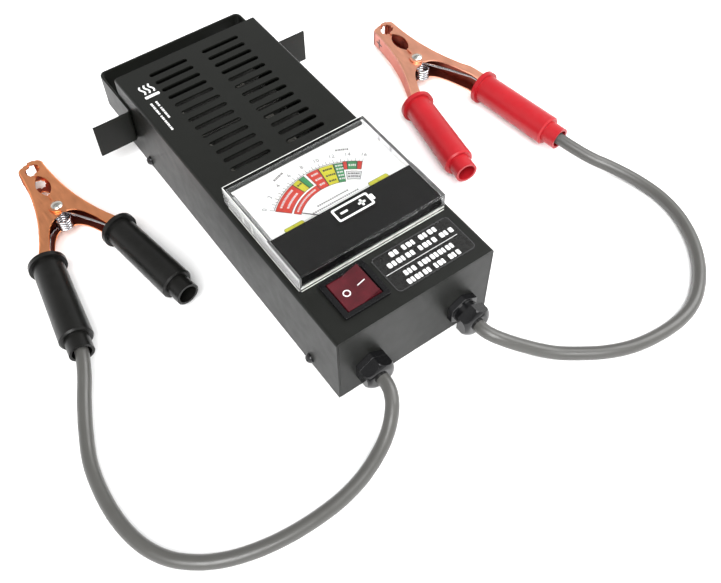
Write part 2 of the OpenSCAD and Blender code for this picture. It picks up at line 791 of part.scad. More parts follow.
module black_rivet() { color(steel) place(black_at, black_turn) rivet(); }
module red_rivet() { color(steel) place(red_at, red_turn) rivet(); }
module black_spring() { color(steel) place(black_at, black_turn) clamp_spring(); }
module red_spring() { color(steel) place(red_at, red_turn) clamp_spring(); }
module black_free_grip() { color(black_pvc) place(black_at, black_turn) grip(1, black_grip_slide); }
module black_lead_grip() { color(black_pvc) place(black_at, black_turn) grip(-1, black_grip_slide); }
module red_free_grip() { color(red_pvc) place(red_at, red_turn) grip(-1, black_grip_slide); }
module red_lead_grip() { color(red_pvc) place(red_at, red_turn) grip(1, red_grip_slide); }

// ---------------------------------------------------------------- nodes

chassis();
cover();
rear_strap();
cover_screws();
load_label();
meter_base();
meter_window();
meter_mask();
meter_dial();
meter_pointer();
meter_coil();
meter_magnet();
meter_core();
meter_studs();
meter_nuts();
switch_housing();
switch_rocker();
switch_terminals();
load_ribbon();
load_rails();
load_bolts();
inner_wires();
gland_body_black();
gland_nut_black();
gland_body_red();
gland_nut_red();
gland_seals();
gland_locknuts();
tail_black();
tail_red();
lead_black();
lead_red();
black_outer_jaw();
black_inner_jaw();
black_rivet();
black_spring();
black_free_grip();
black_lead_grip();
red_outer_jaw();
red_inner_jaw();
red_rivet();
red_spring();
red_free_grip();
red_lead_grip();
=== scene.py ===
import json
import math

import bmesh
import bpy
from mathutils import Matrix, Vector


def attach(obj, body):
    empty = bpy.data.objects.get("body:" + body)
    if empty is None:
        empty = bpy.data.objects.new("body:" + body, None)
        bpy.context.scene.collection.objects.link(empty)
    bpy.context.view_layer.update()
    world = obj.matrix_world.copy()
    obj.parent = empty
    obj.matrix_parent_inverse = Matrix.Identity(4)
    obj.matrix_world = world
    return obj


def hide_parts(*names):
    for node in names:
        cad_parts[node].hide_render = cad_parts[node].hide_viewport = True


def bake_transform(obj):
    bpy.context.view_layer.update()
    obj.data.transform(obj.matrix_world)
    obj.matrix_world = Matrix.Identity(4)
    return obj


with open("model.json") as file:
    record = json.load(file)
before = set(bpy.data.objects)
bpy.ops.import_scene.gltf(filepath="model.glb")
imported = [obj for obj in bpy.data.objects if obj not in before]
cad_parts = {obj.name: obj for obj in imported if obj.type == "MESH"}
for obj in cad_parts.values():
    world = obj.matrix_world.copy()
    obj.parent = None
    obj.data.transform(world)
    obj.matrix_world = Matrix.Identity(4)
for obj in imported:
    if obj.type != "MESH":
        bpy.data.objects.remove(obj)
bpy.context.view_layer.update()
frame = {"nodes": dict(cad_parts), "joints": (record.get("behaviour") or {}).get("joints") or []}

# Sizes and places are in millimetres, in the frame of the CAD model. Blender takes metres, so they
# are multiplied by MM where they are handed over. Noise scales and grain depths are in metres.
MM = 0.001
NODES = frame["nodes"]
SCENE = bpy.context.scene
JOINT_AT = {joint["name"]: Vector(joint["pos_m"]) / MM for joint in frame["joints"]}


def box_of(name):
    """The lowest and the highest corner of a CAD node."""
    points = [v.co / MM for v in NODES[name].data.vertices]
    return [Vector([pick(p[i] for p in points) for i in range(3)]) for pick in (min, max)]


def top_of(name):
    return box_of(name)[1].z


def link(o):
    SCENE.collection.objects.link(o)
    return o


# ------------------------------------------------------------------ camera

CAMERA_AT = (-184.65, -336.35, 453.01)
CAMERA_TURN = (35.2845, 0.5868, -35.8415)
LENS, SENSOR = 44.78, 36


def make_camera():
    """A camera that starts out looking straight down and is turned about X, Y and Z in degrees."""
    data = bpy.data.cameras.new("camera")
    data.sensor_width = SENSOR
    data.lens = LENS
    camera = link(bpy.data.objects.new("camera", data))
    camera.location = Vector(CAMERA_AT) * MM
    camera.rotation_euler = [math.radians(a) for a in CAMERA_TURN]
    SCENE.camera = camera


make_camera()


# ------------------------------------------------------------------ kinds of material

def new_look(name, rough, metal=0.0):
    """An empty material, its node tree, its shader and the place that its noises are made from."""
    look = bpy.data.materials.new(name)
    look.use_nodes = True
    tree = look.node_tree
    shader = tree.nodes["Principled BSDF"]
    shader.inputs["Roughness"].default_value = rough
    shader.inputs["Metallic"].default_value = metal
    place = tree.nodes.new("ShaderNodeTexCoord")
    return look, tree, shader, place.outputs["Object"]


def noise(tree, place, scale, detail=4.0, squeeze=None):
    """Noise of about 1 / scale metres, drawn out along an axis where squeeze is given."""
    texture = tree.nodes.new("ShaderNodeTexNoise")
    texture.inputs["Scale"].default_value = scale
    texture.inputs["Detail"].default_value = detail
    if squeeze:
        drawn = tree.nodes.new("ShaderNodeMapping")
        drawn.inputs["Scale"].default_value = squeeze
        tree.links.new(place, drawn.inputs["Vector"])
        place = drawn.outputs["Vector"]
    tree.links.new(place, texture.inputs["Vector"])
    return texture.outputs["Fac"]


def ramp(tree, source, stops):
    """Turns a noise into colours. stops holds (position, colour) pairs."""
    node = tree.nodes.new("ShaderNodeValToRGB")
    elements = node.color_ramp.elements
    while len(elements) < len(stops):
        elements.new(0.5)
    for element, (at, colour) in zip(elements, stops):
        element.position = at
        element.color = (*colour, 1)
    tree.links.new(source, node.inputs["Fac"])
    return node.outputs["Color"]


def spread(tree, source, low, high):
    """Turns the middle of a noise into numbers from low to high."""
    node = tree.nodes.new("ShaderNodeMapRange")
    node.inputs["From Min"].default_value = 0.3
    node.inputs["From Max"].default_value = 0.7
    node.inputs["To Min"].default_value = low
    node.inputs["To Max"].default_value = high
    tree.links.new(source, node.inputs["Value"])
    return node.outputs["Result"]


def grain(tree, shader, source, strength, depth=0.00005):
    bump = tree.nodes.new("ShaderNodeBump")
    bump.inputs["Strength"].default_value = strength
    bump.inputs["Distance"].default_value = depth
    tree.links.new(source, bump.inputs["Height"])
    tree.links.new(bump.outputs["Normal"], shader.inputs["Normal"])


def shade(colour, factor):
    return tuple(min(1.0, c * factor) for c in colour)


def surface(name, colour, rough, metal=0.0, vary=0.12, patch=60, rough_vary=0.06,
            grain_scale=1500, grain_strength=0.25, specular=0.5, worn=None):
    """A finish with soft patches of colour and gloss and a fine grain.
    worn is the colour of its small rubbed spots."""
    look, tree, shader, place = new_look(name, rough, metal)
    stops = [(0.30, shade(colour, 1 - vary)), (0.55, colour), (0.75, shade(colour, 1 + vary))]
    if worn:
        stops += [(0.80, worn)]
    tree.links.new(ramp(tree, noise(tree, place, patch), stops), shader.inputs["Base Color"])
    gloss = noise(tree, place, patch * 5)
    tree.links.new(spread(tree, gloss, rough - rough_vary, rough + rough_vary),
                   shader.inputs["Roughness"])
    grain(tree, shader, noise(tree, place, grain_scale, 2.0), grain_strength)
    shader.inputs["Specular IOR Level"].default_value = specular
    return look


def brushed(name, colour, rough, squeeze, vary=0.15):
    """Bare metal with fine drawn lines along the axis that squeeze shortens."""
    look, tree, shader, place = new_look(name, rough, 1.0)
    lines = noise(tree, place, 900, 3.0, squeeze)
    tarnish = noise(tree, place, 70, 5.0)
    stops = [(0.28, shade(colour, 1 - 2 * vary)), (0.5, colour), (0.75, shade(colour, 1 + vary))]
    tree.links.new(ramp(tree, tarnish, stops), shader.inputs["Base Color"])
    shader.inputs["Specular Tint"].default_value = (*shade(colour, 0.9), 1)
    tree.links.new(spread(tree, lines, rough - 0.08, rough + 0.10), shader.inputs["Roughness"])
    grain(tree, shader, lines, 0.25, 0.00004)
    return look


def clear(name, through=1.0):
    """Moulded acrylic. through is the part of the light that it lets past."""
    look, tree, shader, place = new_look(name, 0.03)
    shader.inputs["Transmission Weight"].default_value = through
    shader.inputs["IOR"].default_value = 1.45
    smear = noise(tree, place, 30, 6.0)
    stops = [(0.3, (0.97, 0.98, 0.98)), (0.7, (1.0, 1.0, 1.0))]
    tree.links.new(ramp(tree, smear, stops), shader.inputs["Base Color"])
    tree.links.new(spread(tree, smear, 0.01, 0.05), shader.inputs["Roughness"])
    grain(tree, shader, noise(tree, place, 250, 2.0), 0.02, 0.00003)
    return look


def lit_plastic(name, dark, bright):
    """Glossy plastic that lets a little light in, as on a rocker with a lamp behind it."""
    look, tree, shader, place = new_look(name, 0.12)
    shader.inputs["Transmission Weight"].default_value = 0.25
    shader.inputs["Coat Weight"].default_value = 0.5
    tree.links.new(ramp(tree, noise(tree, place, 140), [(0.3, dark), (0.7, bright)]),
                   shader.inputs["Base Color"])
    tree.links.new(spread(tree, noise(tree, place, 300), 0.08, 0.16), shader.inputs["Roughness"])
    grain(tree, shader, noise(tree, place, 700), 0.06)
    return look


def ink(name, colour):
    return surface(name, colour, 0.45, patch=900, vary=0.06, grain_scale=3000, grain_strength=0.1)


# ------------------------------------------------------------------ looks

paint_black = surface("paint_black", (0.0065, 0.0070, 0.0060), 0.40, vary=0.06, patch=25,
                      rough_vary=0.03, grain_scale=2600, grain_strength=0.22, specular=0.24,
                      worn=(0.012, 0.012, 0.012))
# Painted light: a grey for the case's inner floor, so what shows through the slots looks lit.
floor_inside_painted_light = surface("floor_inside_painted_light", (0.075, 0.075, 0.070), 0.6, patch=40, vary=0.2)
label_black = surface("label_black", (0.010, 0.010, 0.0095), 0.28, patch=90, grain_strength=0.1,
                      specular=0.45)
gloss_black = surface("gloss_black", (0.002, 0.002, 0.0018), 0.14, patch=50, rough_vary=0.03,
                      grain_strength=0.03, specular=0.08)
nylon_black = surface("nylon_black", (0.004, 0.004, 0.0045), 0.13, patch=150, rough_vary=0.03,
                      grain_strength=0.05, specular=0.42)
frame_black = surface("frame_black", (0.005, 0.005, 0.0055), 0.24, patch=150, grain_strength=0.05,
                      specular=0.35)
screw_black = surface("screw_black", (0.010, 0.010, 0.011), 0.16, patch=300, rough_vary=0.04,
                      grain_strength=0.05, worn=(0.03, 0.03, 0.03))
pvc_grey = surface("pvc_grey", (0.061, 0.060, 0.056), 0.36, patch=40, vary=0.06,
                   grain_scale=1800, grain_strength=0.2, worn=(0.13, 0.13, 0.12))
pvc_black = surface("pvc_black", (0.0050, 0.0050, 0.0045), 0.34, patch=60, grain_scale=1500,
                    grain_strength=0.2, specular=0.28)
pvc_red = surface("pvc_red", (0.325, 0.0065, 0.0115), 0.38, patch=45, vary=0.08, grain_scale=1500,
                  grain_strength=0.2, specular=0.45)
copper = brushed("copper", (0.92, 0.38, 0.185), 0.36, (1.0, 0.12, 1.0), vary=0.05)
# Painted shade: a darker copy of the copper, for the web of the black clamp's inner jaw.
copper_web_painted_shade = brushed("copper_web_painted_shade", (0.50, 0.20, 0.12), 0.45, (1.0, 1.0, 0.12), vary=0.08)
copper_pink = brushed("copper_pink", (0.97, 0.47, 0.32), 0.36, (1.0, 0.12, 1.0), vary=0.05)
# Painted shade: a darker copy of the pink copper, for the web of the red clamp's inner jaw.
pink_web_painted_shade = brushed("pink_web_painted_shade", (0.60, 0.30, 0.26), 0.42, (1.0, 1.0, 0.12), vary=0.05)
# Painted shade: a darker copper for the faces that look into a jaw.
copper_inner_painted_shade = brushed("copper_inner_painted_shade", (0.30, 0.085, 0.060), 0.42, (1.0, 0.3, 1.0), vary=0.12)
rivet_steel = brushed("rivet_steel", (0.66, 0.65, 0.60), 0.26, (1.0, 1.0, 0.3), vary=0.08)
chrome = brushed("chrome", (0.50, 0.50, 0.52), 0.14, (1.0, 0.4, 1.0), vary=0.10)
brass = brushed("brass", (0.72, 0.55, 0.28), 0.30, (1.0, 1.0, 0.2))
dark_iron = brushed("dark_iron", (0.20, 0.20, 0.21), 0.42, (1.0, 1.0, 0.5))
resist = surface("resist", (0.085, 0.085, 0.080), 0.55, metal=0.3, patch=90, vary=0.2,
                 grain_strength=0.4)
enamel_wire = surface("enamel_wire", (0.45, 0.14, 0.05), 0.30, patch=200, grain_scale=2400,
                      grain_strength=0.5)
ceramic = surface("ceramic", (0.16, 0.155, 0.14), 0.62, patch=120, grain_scale=1200)
meter_white = surface("meter_white", (0.70, 0.70, 0.68), 0.45, patch=60, vary=0.05)
dial_white = surface("dial_white", (0.90, 0.90, 0.89), 0.50, patch=70, vary=0.015,
                     grain_strength=0.06)
# Painted highlight: a pale grey for strips where the window's edges catch the light.
window_highlight_paint = surface("window_highlight_paint", (0.62, 0.63, 0.60), 0.25, patch=300, vary=0.25,
                     grain_strength=0.2)
wire_red = surface("wire_red", (0.38, 0.02, 0.02), 0.40, patch=90)
rubber = surface("rubber", (0.020, 0.020, 0.020), 0.60, patch=120)
floor_white = surface("floor_white", (0.90, 0.90, 0.90), 0.75, patch=3, vary=0.01,
                      grain_scale=300, grain_strength=0.05, specular=0.2)
window_clear = clear("window_clear")
window_wall = clear("window_wall", 0.80)
rocker_maroon = lit_plastic("rocker_maroon", (0.062, 0.006, 0.010), (0.098, 0.009, 0.015))
ink_white = ink("ink_white", (0.66, 0.66, 0.66))
ink_grey = ink("ink_grey", (0.20, 0.20, 0.20))
ink_faint = ink("ink_faint", (0.035, 0.035, 0.036))
ink_black = ink("ink_black", (0.022, 0.022, 0.024))
ink_red = ink("ink_red", (0.62, 0.036, 0.016))
ink_yellow = ink("ink_yellow", (0.60, 0.56, 0.02))
ink_green = ink("ink_green", (0.03, 0.26, 0.085))

LOOKS = {
    paint_black: ["chassis", "cover", "rear_strap"],
    screw_black: ["cover_screws"],
    label_black: ["load_label"],
    meter_white: ["meter_base"],
    window_clear: ["meter_window"],
    gloss_black: ["meter_mask"],
    dial_white: ["meter_dial"],
    ink_black: ["meter_pointer"],
    enamel_wire: ["meter_coil"],
    dark_iron: ["meter_magnet", "meter_core"],
    brass: ["meter_studs", "meter_nuts", "switch_terminals"],
    frame_black: ["switch_housing"],
    rocker_maroon: ["switch_rocker"],
    resist: ["load_ribbon"],
    ceramic: ["load_rails"],
    rivet_steel: ["load_bolts", "black_rivet", "red_rivet"],
    wire_red: ["inner_wires"],
    nylon_black: ["gland_body_black", "gland_nut_black", "gland_body_red", "gland_nut_red",
                  "gland_locknuts"],
    rubber: ["gland_seals"],
    pvc_grey: ["tail_black", "tail_red", "lead_black", "lead_red"],
    copper: ["black_outer_jaw", "black_inner_jaw"],
    copper_pink: ["red_outer_jaw", "red_inner_jaw"],
    chrome: ["black_spring", "red_spring"],
    pvc_black: ["black_free_grip", "black_lead_grip"],
    pvc_red: ["red_free_grip", "red_lead_grip"],
}
for look, names in LOOKS.items():
    for name in names:
        data = NODES[name].data
        data.materials.clear()
        data.materials.append(look)


def add_look(name, look, chosen):
    """Gives a CAD node a second look, on the faces for which chosen is true."""
    data = NODES[name].data
    data.materials.append(look)
    for p in data.polygons:
        p.material_index = 1 if chosen(p) else 0


# The upward faces of the case's inner floor take the grey of painted light.
add_look("chassis", floor_inside_painted_light, lambda p: p.normal.z > 0.9 and p.center.z < 2 * MM)
add_look("meter_window", window_wall, lambda p: abs(p.normal.x) > 0.7)


# ------------------------------------------------------------------ softened edges of CAD nodes

WELD_GAP = 0.002


def join_faces(o):
    """Joins a CAD node's faces along their edges and merges the flat ones."""
    weld = o.modifiers.new("joined", "WELD")
    weld.merge_threshold = WELD_GAP * MM
    flat = o.modifiers.new("flat_faces", "DECIMATE")
    flat.decimate_type = "DISSOLVE"
    flat.angle_limit = math.radians(0.6)
    flat.delimit = {"MATERIAL"}


def finish_edges(o):
    """Smooths the rounded edges, and keeps the flat faces beside them flat."""
    even = o.modifiers.new("even_normals", "WEIGHTED_NORMAL")
    even.mode = "FACE_AREA"
    even.weight = 100
    for p in o.data.polygons:
        p.use_smooth = True


def round_edges(o, name, width, segments, angle):
    """Rounds the edges that are sharper than angle."""
    edge = o.modifiers.new(name, "BEVEL")
    edge.width = width * MM
    edge.segments = segments
    edge.limit_method = "ANGLE"
    edge.angle_limit = math.radians(angle)


SOFTENED = (
    (0.35, 2, ("cover", "chassis", "rear_strap")),
    (0.25, 2, ("meter_window", "meter_mask", "switch_housing")),
    (0.4, 3, ("gland_body_black", "gland_body_red", "gland_nut_black", "gland_nut_red")),
)
for width, segments, names in SOFTENED:
    for name in names:
        o = NODES[name]
        join_faces(o)
        round_edges(o, "edges", width, segments, 30)
        finish_edges(o)


# ------------------------------------------------------------------ clamps and leads

HANDLE_ANGLE = math.radians(8.5)
GRIP_START = (24.2, -33.5)


class Clamp:
    """Where a clamp lies. It is drawn about its rivet, with its tip along +Y."""

    def __init__(self, joint, turn):
        self.rivet = JOINT_AT[joint]
        self.turned = Matrix.Rotation(math.radians(turn), 3, "Z")

    def place(self, x, y, z=0.0):
        """A drawn point, in the frame."""
        return self.rivet + self.turned @ Vector((x, y, z))

    def drawn(self, p):
        """A point of the frame, as the clamp is drawn."""
        return self.turned.inverted() @ (p - self.rivet)

    def on_handle(self, side, s):
        """The middle of the grip on that side, s along from its flange."""
        return self.place(side * (GRIP_START[0] + s * math.sin(HANDLE_ANGLE)),
                          GRIP_START[1] - s * math.cos(HANDLE_ANGLE))


BLACK = Clamp("black_clamp_open", 0)
RED = Clamp("red_clamp_open", -2)

LEAD_D = 8.2
BLACK_ROUTE = [
    (-32.9, -139.5, 18.5), (-33, -143.5, 18.45), (-34.2, -148.5, 17.9), (-37, -154, 16.3),
    (-41.4, -159.2, 13.6), (-47, -163.9, 10.3), (-53.8, -168, 7.5), (-61.5, -171.5, 5.5),
    (-70, -174.7, 4.5), (-80, -177.5, 4.3), (-93, -179.5, 4.3), (-110, -179.9, 4.3),
    (-126, -178.6, 4.3), (-142, -175.3, 4.3), (-156, -170.2, 4.3), (-168, -163, 4.3),
    (-178.5, -152.8, 4.3), (-185.8, -139.2, 4.3), (-189.6, -122, 4.3), (-190, -103, 4.3),
    (-187.3, -83, 4.6), (-181, -65, 6), (-173.3, -48.5, 8.6), (-166, -35, 11.2),
    *(BLACK.on_handle(-1, s) for s in (72, 60, 47))]
RED_ROUTE = [
    (32.9, -144, 18.5), (33.1, -148, 18.45), (35, -153, 17.7), (38.8, -158, 15.9),
    (44, -163, 13), (50, -168, 9.8), (57, -174, 6.9), (65, -180.5, 4.9), (76, -188.4, 4.3),
    (88, -196, 4.3), (103, -202.3, 4.3), (120, -205.6, 4.3), (138, -206, 4.3),
    (154, -202.6, 4.3), (168, -194.8, 4.3), (181, -183, 4.3), (191.5, -168, 4.3),
    (199, -150, 4.3), (201.8, -131, 4.4), (199, -111.5, 5.3), (192.6, -94.5, 7.2),
    (184.7, -79.5, 9.8), *(RED.on_handle(1, s) for s in (82, 65, 47))]


def lead(name, route, node):
    """A smooth curve through the route's points, as thick as the lead."""
    data = bpy.data.curves.new(name, "CURVE")
    data.dimensions = "3D"
    data.bevel_depth = LEAD_D / 2 * MM
    data.bevel_resolution = 6
    data.resolution_u = 8
    data.use_fill_caps = True
    spline = data.splines.new("BEZIER")
    spline.bezier_points.add(len(route) - 1)
    points = [Vector(p) * MM for p in route]
    for i, bend in enumerate(spline.bezier_points):
        before, after = points[max(i - 1, 0)], points[min(i + 1, len(points) - 1)]
        reach = (after - before) / 6
        bend.co = points[i]
        bend.handle_left = points[i] - reach
        bend.handle_right = points[i] + reach
    o = link(bpy.data.objects.new(name, data))
    o.data.materials.append(pvc_grey)
    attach(o, "case")
    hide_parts(node)
    return o


lead_black = lead("lead_cable_black", BLACK_ROUTE, "lead_black")
lead_red = lead("lead_cable_red", RED_ROUTE, "lead_red")


# ------------------------------------------------------------------ flat shapes

PRINT = 0.06


def finished_mesh(name, bm, look):
    bmesh.ops.recalc_face_normals(bm, faces=bm.faces)
    data = bpy.data.meshes.new(name)
    bm.to_mesh(data)
    bm.free()
    data.shade_flat()
    data.materials.append(look)
    return link(bpy.data.objects.new(name, data))


def mesh_piece(name, bm, look, body="case"):
    o = finished_mesh(name, bm, look)
    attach(o, body)
    return o


def add_prism(bm, outline, place, thick=PRINT):
    """A flat shape of that thickness. place turns x, y and height into a point of the frame."""
    low = [bm.verts.new(place(x, y, 0.0) * MM) for x, y in outline]
    high = [bm.verts.new(place(x, y, thick) * MM) for x, y in outline]
    bm.faces.new(list(reversed(low)))
    bm.faces.new(high)
    for i in range(len(outline)):
        j = (i + 1) % len(outline)
        bm.faces.new([low[i], low[j], high[j], high[i]])


def add_ring(bm, outer, inner, place, thick=PRINT):
    """A flat band between two outlines with the same number of corners."""
    rows = [[bm.verts.new(place(x, y, h) * MM) for x, y in line]
            for line, h in ((outer, 0.0), (outer, thick), (inner, thick), (inner, 0.0))]
    for r in range(4):
        a, b = rows[r], rows[(r + 1) % 4]
        for i in range(len(outer)):
            j = (i + 1) % len(outer)
            bm.faces.new([a[i], a[j], b[j], b[i]])


def add_stroke(bm, points, width, place):
    """A line of that width through the points."""
    left, right = [], []
    for i, p in enumerate(points):
        a, b = points[max(i - 1, 0)], points[min(i + 1, len(points) - 1)]
        along = Vector((b[0] - a[0], b[1] - a[1])).normalized()
        left.append((p[0] - along.y * width / 2, p[1] + along.x * width / 2))
        right.append((p[0] + along.y * width / 2, p[1] - along.x * width / 2))
    add_prism(bm, list(reversed(left)) + right, place)


def add_words(bm, x, y, high, place, words, pitch):
    """Words of small print as runs of rounded blocks. words holds the length of each."""
    for k, count in enumerate(words):
        for i in range(count):
            wide = pitch * (0.80, 0.68, 0.84, 0.55)[(i + k) % 4]
            block = rounded(x, y - high / 2, x + wide, y + high / 2, wide * 0.25, 3)
            add_prism(bm, block, place)
            x += pitch
        x += pitch * 0.75


def rect(x0, y0, x1, y1):
    return [(x0, y0), (x1, y0), (x1, y1), (x0, y1)]


def rounded(x0, y0, x1, y1, r, steps=6):
    """A rectangle whose corners are arcs of that many steps."""
    out = []
    for x, y, start in ((x1 - r, y0 + r, -90), (x1 - r, y1 - r, 0), (x0 + r, y1 - r, 90),
                        (x0 + r, y0 + r, 180)):
        for k in range(steps + 1):
            a = math.radians(start + 90 * k / steps)
            out.append((x + r * math.cos(a), y + r * math.sin(a)))
    return out


def circle(x, y, r, steps=24):
    turns = [2 * math.pi * k / steps for k in range(steps)]
    return [(x + r * math.cos(a), y + r * math.sin(a)) for a in turns]


def flat_at(z):
    return lambda x, y, h: Vector((x, y, z + h))


# ------------------------------------------------------------------ print on the dial

PIVOT = JOINT_AT["pointer_swing"]
DIAL_TOP = top_of("meter_dial")
DIAL_LEFT = box_of("meter_dial")[0].x
on_dial, over_dial, top_dial = (flat_at(DIAL_TOP + lift) for lift in (0.02, 0.10, 0.18))

# Angles are in degrees from straight up, and radii are from the pointer's pivot.
SCALE_START, VOLT = -44.6, 5.42
LAST_VOLT = 16
FIGURE_R, FIGURE_H = 51.6, 3.9
ZONE_LINE = 0.28
ZONES = (
    ("red", 35.7, 45.4, -45.0, -17.0),
    ("yellow", 35.7, 45.4, -17.0, -10.0),
    ("green", 35.7, 45.4, -10.0, -5.0),
    ("red", 30.2, 34.7, -45.0, -3.0),
    ("red", 30.2, 45.4, -3.0, 7.5),
    ("yellow", 30.2, 45.4, 7.5, 19.6),
    ("green", 30.2, 45.4, 19.6, 27.0),
    ("red", 39.6, 46.3, 27.0, 30.3),
    ("green", 39.6, 46.3, 30.3, 38.0),
    ("red", 39.6, 46.3, 38.0, 42.0),
    ("white", 31.7, 38.2, 28.5, 42.6),
)
# Colour, radius, first and last angle, and height of each row of small print.
ZONE_WORDS = (
    ("white", 42.7, -41.0, -21.0, 1.3), ("white", 38.8, -40.0, -22.0, 1.3),
    ("white", 32.5, -42.0, -8.0, 1.1),
    *(("white", r, -0.5, 5.0, 1.4) for r in (42.3, 38.0, 33.6)),
    *(("black", r, 10.0, 17.5, 1.3) for r in (42.3, 37.6, 33.2)),
    *(("white", r, 20.8, 26.0, 1.2) for r in (43.4, 40.8, 38.2, 35.6, 33.0)),
    ("black", 42.0, -15.6, -11.0, 1.2),
    ("white", 42.9, 31.3, 37.0, 1.6),
    *(("black", r, 30.0, 41.0, 0.9) for r in (36.2, 34.0)),
)
DIAL_PIECES = {
    "red": ("dial_red", ink_red),
    "yellow": ("dial_yellow", ink_yellow),
    "green": ("dial_green", ink_green),
    "white": ("dial_white_print", ink_white),
    # The black piece holds print and one painted shadow line.
    "black": ("dial_black_print_and_shadow", ink_black),
    "grey": ("dial_grey_print", ink_grey),
}


def polar(r, deg):
    a = math.radians(deg)
    return PIVOT.x + r * math.sin(a), PIVOT.y + r * math.cos(a)


def sector(r0, r1, a0, a1):
    """A ring's sector, with a corner about every 2 degrees."""
    n = max(1, int(abs(a1 - a0) / 2))
    steps = [a0 + (a1 - a0) * k / n for k in range(n + 1)]
    return [polar(r0, a) for a in reversed(steps)] + [polar(r1, a) for a in steps]


def add_zone(fill, line, r0, r1, a0, a1):
    """A coloured sector with a thin dark outline."""
    add_prism(fill, sector(r0, r1, a0, a1), on_dial)
    w = ZONE_LINE
    turn = math.degrees(w / ((r0 + r1) / 2))
    for side in ((r0, r0 + w, a0, a1), (r1 - w, r1, a0, a1), (r0, r1, a0, a0 + turn),
                 (r0, r1, a1 - turn, a1)):
        add_prism(line, sector(*side), over_dial)


def add_arc_words(bm, r, a0, a1, height, place):
    """A row of short strokes along an arc, where small print stands."""
    a = a0
    k = 0
    while a < a1:
        wide = math.degrees((1.5, 0.9, 1.2, 1.0)[k % 4] / r)
        add_prism(bm, sector(r - height / 2, r + height / 2, a, a + wide * 0.72), place)
        a += wide
        k += 1


def add_figures(bm, words, at, turn, size, z):
    """Figures of that height, centred on a point and turned about Z."""
    data = bpy.data.curves.new("figures", "FONT")
    data.body = words
    data.size = size
    data.align_x = "CENTER"
    data.align_y = "CENTER"
    data.extrude = PRINT / 2
    data.resolution_u = 3
    o = link(bpy.data.objects.new("figures", data))
    bpy.context.view_layer.update()
    made = bpy.data.meshes.new_from_object(o.evaluated_get(bpy.context.evaluated_depsgraph_get()))
    made.transform(Matrix.Scale(MM, 4) @ Matrix.Translation((*at, z)) @ Matrix.Rotation(turn, 4, "Z"))
    bm.from_mesh(made)
    bpy.data.objects.remove(o)
    bpy.data.curves.remove(data)
    bpy.data.meshes.remove(made)


def add_scale(bm_line, bm_figures):
    """An arc with a mark at every half volt and a figure at every other volt."""
    add_prism(bm_line, sector(45.9, 46.2, SCALE_START, 42.4), over_dial)
    half_wide = math.degrees(0.13 / 48)
    for i in range(2 * LAST_VOLT + 1):
        a = SCALE_START + i * VOLT / 2
        end = 48.6 if i % 2 == 0 else 47.4
        add_prism(bm_line, sector(46.1, end, a - half_wide, a + half_wide), over_dial)
    for volts in range(0, LAST_VOLT + 1, 2):
        a = SCALE_START + volts * VOLT
        add_figures(bm_figures, str(volts), polar(FIGURE_R, a), -math.radians(a), FIGURE_H,
                    DIAL_TOP + 0.12)


def print_dial():
    inks = {colour: bmesh.new() for colour in DIAL_PIECES}
    grey, black, yellow = inks["grey"], inks["black"], inks["yellow"]
    for colour, *sides in ZONES:
        add_zone(inks[colour], black, *sides)
    add_scale(black, grey)
    for colour, *row in ZONE_WORDS:
        add_arc_words(inks[colour], *row, top_dial)
    add_arc_words(grey, 56.0, -21.0, -13.0, 1.5, on_dial)
    add_arc_words(grey, 56.0, 24.0, 31.5, 1.5, on_dial)
    # Two rows of small print under the arc.
    for x, end, y in ((-11.5, 9.0, -47.9), (-16.5, 14.0, -50.9)):
        while x < end:
            add_prism(grey, rect(x, y - 0.55, x + 1.0, y + 0.55), on_dial)
            x += 1.45
    # A yellow tab at each end of the mask's edge, with a line between them.
    for x0, y0, x1, y1 in ((-36.7, -54.6, -23.8, -51.0), (21.8, -54.6, 35.6, -50.4)):
        add_prism(black, rounded(x0, y0, x1, y1, 1.2), on_dial)
        add_prism(yellow, rounded(x0 + 0.3, y0 + 0.3, x1 - 0.3, y1 - 0.3, 0.9), over_dial)
        add_prism(black, rect(x0 + 6.3, y0 + 0.3, x0 + 6.5, y1 - 0.3), top_dial)
    add_prism(grey, rect(-23.8, -52.6, 21.8, -52.4), on_dial)
    # A dark line along the dial's left edge, a painted shadow of the window's left wall.
    add_prism(black, rect(DIAL_LEFT + 0.1, -57.0, DIAL_LEFT + 0.4, -12.0), on_dial)
    for colour, (name, look) in DIAL_PIECES.items():
        mesh_piece(name, inks[colour], look)


print_dial()


# ------------------------------------------------------------------ prints on the case

CASE_TOP = top_of("cover")
WINDOW_LOW, WINDOW_HIGH = box_of("meter_window")


def print_label():
    """A faint outline, and two pairs of rows of blocks with a line between them."""
    low, high = box_of("load_label")
    on_label = flat_at(high.z)
    outline = bmesh.new()
    add_ring(outline, rounded(low.x + 0.3, low.y + 0.4, high.x - 0.3, high.y - 0.4, 2.8),
             rounded(low.x + 0.7, low.y + 0.8, high.x - 0.7, high.y - 0.8, 2.4), on_label)
    mesh_piece("label_outline", outline, ink_faint)
    white = bmesh.new()
    add_prism(white, rect(-6.0, -106.55, 44.0, -106.25), on_label)
    for x, y, words, pitch in ((4.0, -96.0, (2, 3, 4), 3.2), (-1.5, -101.8, (6, 4, 3), 3.2),
                               (3.0, -110.8, (3, 9), 2.75), (1.0, -116.6, (6, 3, 3), 2.75)):
        add_words(white, x, y, 3.5, on_label, words, pitch)
    mesh_piece("label_print", white, ink_white)


def print_cover():
    """Three heat waves over a bar, and two rows of blocks that read along the case."""
    z = CASE_TOP + 0.02
    on_cover = flat_at(z)
    white = bmesh.new()
    for x0, words in ((-41.8, (3, 7)), (-45.4, (7, 9))):
        add_words(white, -92.0, 0.0, 1.4, lambda x, y, h: Vector((x0 + y, -x, z + h)), words, 1.75)
    for x in (-44.4, -41.2, -38.0):
        wave = [(x + 0.9 * math.sin(2 * math.pi * k / 12), 101.5 + 8.5 * k / 12) for k in range(13)]
        add_stroke(white, wave, 1.2, on_cover)
    add_prism(white, rounded(-46.0, 97.2, -35.8, 99.6, 0.6), on_cover)
    mesh_piece("cover_print", white, ink_white)


